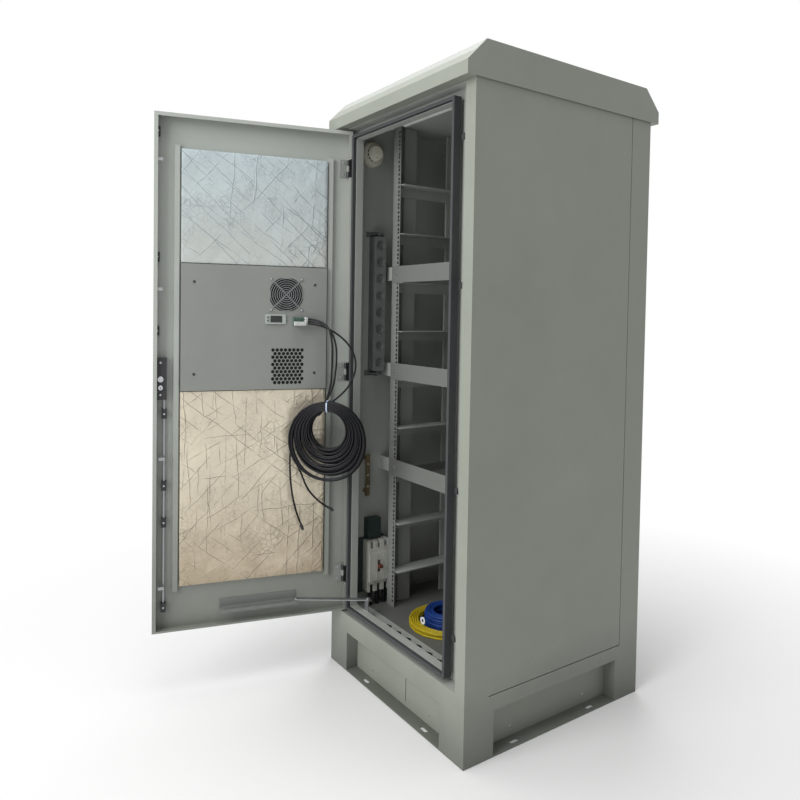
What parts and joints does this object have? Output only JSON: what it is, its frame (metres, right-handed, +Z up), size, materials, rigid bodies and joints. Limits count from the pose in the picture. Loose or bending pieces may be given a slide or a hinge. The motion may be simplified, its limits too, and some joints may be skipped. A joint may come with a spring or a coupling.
{
  "type": "roadside utility cabinet",
  "caption": "Tall outdoor equipment cabinet on a plinth, its insulated door open on a stay, with an air conditioner in the door, a rod lock and a rack with shelves inside.",
  "frame": {"origin": "on the ground under the middle of the body, at the centre of the anchor slots", "axes": "+Z up, -Y towards the front where the door is, +X to the right seen from the front"},
  "size_m": [0.9634, 1.4006, 2],
  "materials": {
    "body_paint": "pale grey powder coat",
    "inner_paint": "grey powder coat, inside",
    "bright_steel": "zinc plated",
    "dark_metal": "black coat",
    "black_plastic": "moulded black",
    "seal_rubber": "matte",
    "foil": "creased foil",
    "cream_plastic": "moulded cream",
    "strip_plastic": "moulded grey",
    "earth_brass": "bare",
    "base_green": "dark green moulding",
    "breaker_grey": "moulded off-white",
    "toggle_red": "moulded red-brown",
    "lamp_white": "opal",
    "yellow_cable": "cable jacket",
    "blue_cable": "cable jacket",
    "black_cable": "cable jacket",
    "bezel_plastic": "moulded grey",
    "screen_plastic": "smoked window",
    "key_plastic": "moulded grey",
    "terminal_green": "moulded green"
  },
  "bodies": {
    "cabinet": {"plinth_frame": "body_paint", "kick_panels": "body_paint", "front_posts": "body_paint", "rear_posts": "body_paint", "front_sill": "body_paint", "front_header": "body_paint", "wall_sills": "body_paint", "side_panel_left": "body_paint", "side_panel_right": "body_paint", "rear_panel": "body_paint", "top_plate": "body_paint", "roof_cap": "body_paint", "floor_plate": "inner_paint", "gland_plate": "inner_paint", "rack_uprights": "inner_paint", "rack_rails": "inner_paint", "shelves": "inner_paint", "equipment_plate": "inner_paint", "roof_rails": "bright_steel", "hinge_pins": "bright_steel", "stay_bracket": "bright_steel", "ring_lug": "bright_steel", "latch_keepers": "dark_metal", "frame_hinges": "dark_metal", "door_seal": "seal_rubber", "smoke_detector": "cream_plastic", "socket_strip": "strip_plastic", "earth_bar": "earth_brass", "breaker_base": "base_green", "breaker_case": "breaker_grey", "ceiling_lamp": "lamp_white", "yellow_coil": "yellow_cable", "blue_coil": "blue_cable", "breaker_cables": "black_cable"},
    "door": {"door_panel": "body_paint", "foil_upper": "foil", "foil_lower": "foil", "door_hinges": "dark_metal", "ac_panel": "inner_paint", "ac_casing": "body_paint", "fan_frame": "black_plastic", "fan_guard": "bright_steel", "display_bezel": "bezel_plastic", "display_screen": "screen_plastic", "ac_terminals": "terminal_green", "stay_channel": "bright_steel", "lock_case": "black_plastic", "rod_guides": "black_plastic", "handle_plate": "dark_metal", "door_cables": "black_cable", "cable_coil": "black_cable"},
    "fan_rotor": {"fan_rotor": "black_plastic"},
    "handle_hub": {"handle_hub": "dark_metal"},
    "handle_lever": {"handle_lever": "dark_metal"},
    "upper_rod": {"upper_rod": "bright_steel"},
    "lower_rod": {"lower_rod": "bright_steel"},
    "stay_arm": {"stay_arm": "bright_steel"},
    "breaker_toggle": {"breaker_toggle": "toggle_red"},
    "key_upper": {"key_upper": "key_plastic"},
    "key_lower": {"key_lower": "key_plastic"}
  },
  "joints": [
    {"name": "door_hinge", "type": "hinge", "parent": "cabinet", "child": "door", "pos_m": [-0.316, -0.366, 1.049], "axis": [0, 0, 1], "range_deg": [0, 105], "deforming": ["door_cables", "cable_coil"]},
    {"name": "stay_swing", "type": "hinge", "parent": "cabinet", "child": "stay_arm", "pos_m": [-0.207, -0.326, 0.263], "axis": [0, 0, 1], "range_deg": [0, 118.07]},
    {"name": "handle_turn", "type": "hinge", "parent": "door", "child": "handle_hub", "pos_m": [-0.48754, -0.95984, 1.032], "axis": [-0.9659, 0.2588, 0], "range_deg": [0, 90]},
    {"name": "handle_lift", "type": "hinge", "parent": "handle_hub", "child": "handle_lever", "pos_m": [-0.50396, -0.95544, 1.032], "axis": [0, 0, 1], "range_deg": [0, 40]},
    {"name": "upper_rod_slide", "type": "slide", "parent": "door", "child": "upper_rod", "axis": [0, 0, 1], "range_m": [0, 0.0126]},
    {"name": "lower_rod_slide", "type": "slide", "parent": "door", "child": "lower_rod", "axis": [0, 0, -1], "range_m": [0, 0.0126]},
    {"name": "fan_spin", "type": "hinge", "parent": "door", "child": "fan_rotor", "pos_m": [-0.36585, -0.57523, 1.315], "axis": [0.9659, -0.2588, 0], "continuous": true},
    {"name": "breaker_throw", "type": "hinge", "parent": "cabinet", "child": "breaker_toggle", "pos_m": [-0.279, -0.239, 0.345], "axis": [0, 1, 0], "range_deg": [-25, 25]},
    {"name": "key_upper_press", "type": "slide", "parent": "door", "child": "key_upper", "axis": [-0.9659, 0.2588, 0], "range_m": [0, 0.001], "stiffness_N_per_m": 400},
    {"name": "key_lower_press", "type": "slide", "parent": "door", "child": "key_lower", "axis": [-0.9659, 0.2588, 0], "range_m": [0, 0.001], "stiffness_N_per_m": 400}
  ],
  "couplings": [
    {"joint": "stay_swing", "follows": "door_hinge", "ratio": 1.1235},
    {"joint": "upper_rod_slide", "follows": "handle_turn", "m_per_rad": 0.008},
    {"joint": "lower_rod_slide", "follows": "handle_turn", "m_per_rad": 0.008}
  ]
}
